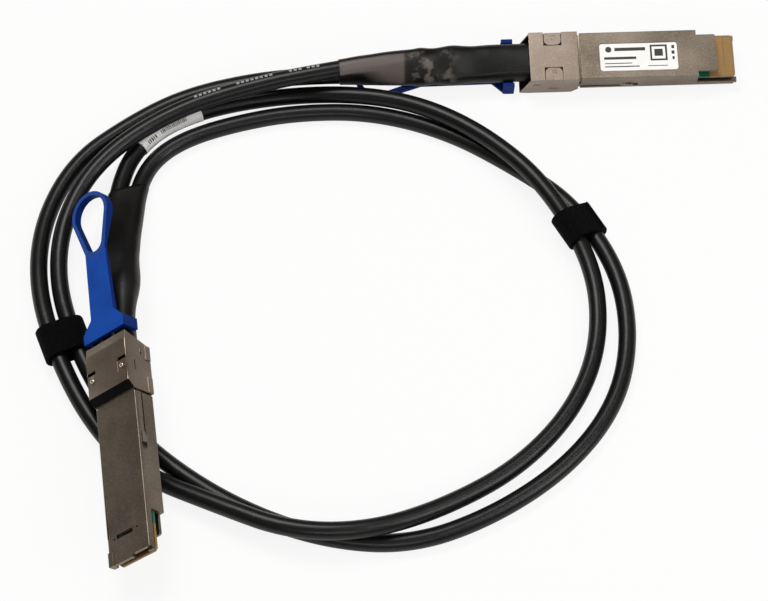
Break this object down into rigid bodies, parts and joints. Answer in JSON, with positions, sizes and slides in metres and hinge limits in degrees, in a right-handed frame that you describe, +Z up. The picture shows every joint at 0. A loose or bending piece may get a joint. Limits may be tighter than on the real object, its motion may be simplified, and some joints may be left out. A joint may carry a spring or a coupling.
{
  "type": "direct attach copper cable",
  "caption": "Coiled pair of round black high-speed copper cables with a nickel-shelled pluggable module and a blue pull tab at each end.",
  "frame": {"origin": "on the floor, under the middle of the box that holds both plugs and their sleeves", "axes": "+X towards the nose of plug B, +Z up, the coil lying flat on the floor"},
  "size_m": [0.2542, 0.2163, 0.0282],
  "materials": {
    "nickel_casting": "satin nickel plating on a zinc casting",
    "nickel_sheet": "satin nickel plating on folded steel sheet",
    "spring_steel": "bright stamped spring steel",
    "board_laminate": "green solder mask on glass-epoxy laminate",
    "gold_plating": "gold plating on copper",
    "black_epoxy": "moulded black epoxy",
    "conductor_film": "metallised shield film",
    "black_nylon": "black moulded nylon",
    "blue_plastic": "satin blue moulded plastic",
    "heat_shrink": "satin heat-shrink polyolefin",
    "label_paper": "white polyester label stock",
    "cable_jacket": "satin black cable jacket",
    "hook_and_loop": "black hook-and-loop fabric"
  },
  "bodies": {
    "cable_assembly": {"plug_a_top_shell": "nickel_casting", "plug_a_bottom_shell": "nickel_casting", "plug_a_paddle_card": "board_laminate", "plug_a_card_contacts": "gold_plating", "plug_a_memory_chip": "black_epoxy", "plug_a_conductor_pairs": "conductor_film", "plug_a_strain_clamp": "black_nylon", "plug_a_backshell": "nickel_sheet", "plug_a_backshell_cover": "nickel_sheet", "plug_a_return_spring_left": "spring_steel", "plug_a_return_spring_right": "spring_steel", "plug_a_heat_shrink_sleeve": "heat_shrink", "plug_b_top_shell": "nickel_casting", "plug_b_bottom_shell": "nickel_casting", "plug_b_paddle_card": "board_laminate", "plug_b_card_contacts": "gold_plating", "plug_b_memory_chip": "black_epoxy", "plug_b_conductor_pairs": "conductor_film", "plug_b_strain_clamp": "black_nylon", "plug_b_backshell": "nickel_sheet", "plug_b_backshell_cover": "nickel_sheet", "plug_b_return_spring_left": "spring_steel", "plug_b_return_spring_right": "spring_steel", "plug_b_heat_shrink_sleeve": "heat_shrink", "plug_b_label": "label_paper", "cable_1": "cable_jacket", "cable_2": "cable_jacket", "cable_flag_label": "label_paper", "hook_wrap_left": "hook_and_loop", "hook_wrap_right": "hook_and_loop"},
    "release_a": {"plug_a_release_slider": "spring_steel", "plug_a_pull_tab": "blue_plastic"},
    "release_b": {"plug_b_release_slider": "spring_steel", "plug_b_pull_tab": "blue_plastic"}
  },
  "joints": [
    {"name": "release_pull_a", "type": "slide", "parent": "cable_assembly", "child": "release_a", "axis": [-0.136, 0.9907, 0], "range_m": [0, 0.0035], "stiffness_N_per_m": 600, "springref_m": -0.003, "deforming": ["plug_a_return_spring_left", "plug_a_return_spring_right"]},
    {"name": "release_pull_b", "type": "slide", "parent": "cable_assembly", "child": "release_b", "axis": [-0.9994, -0.0349, 0], "range_m": [0, 0.0035], "stiffness_N_per_m": 600, "springref_m": -0.003, "deforming": ["plug_b_return_spring_left", "plug_b_return_spring_right"]}
  ]
}
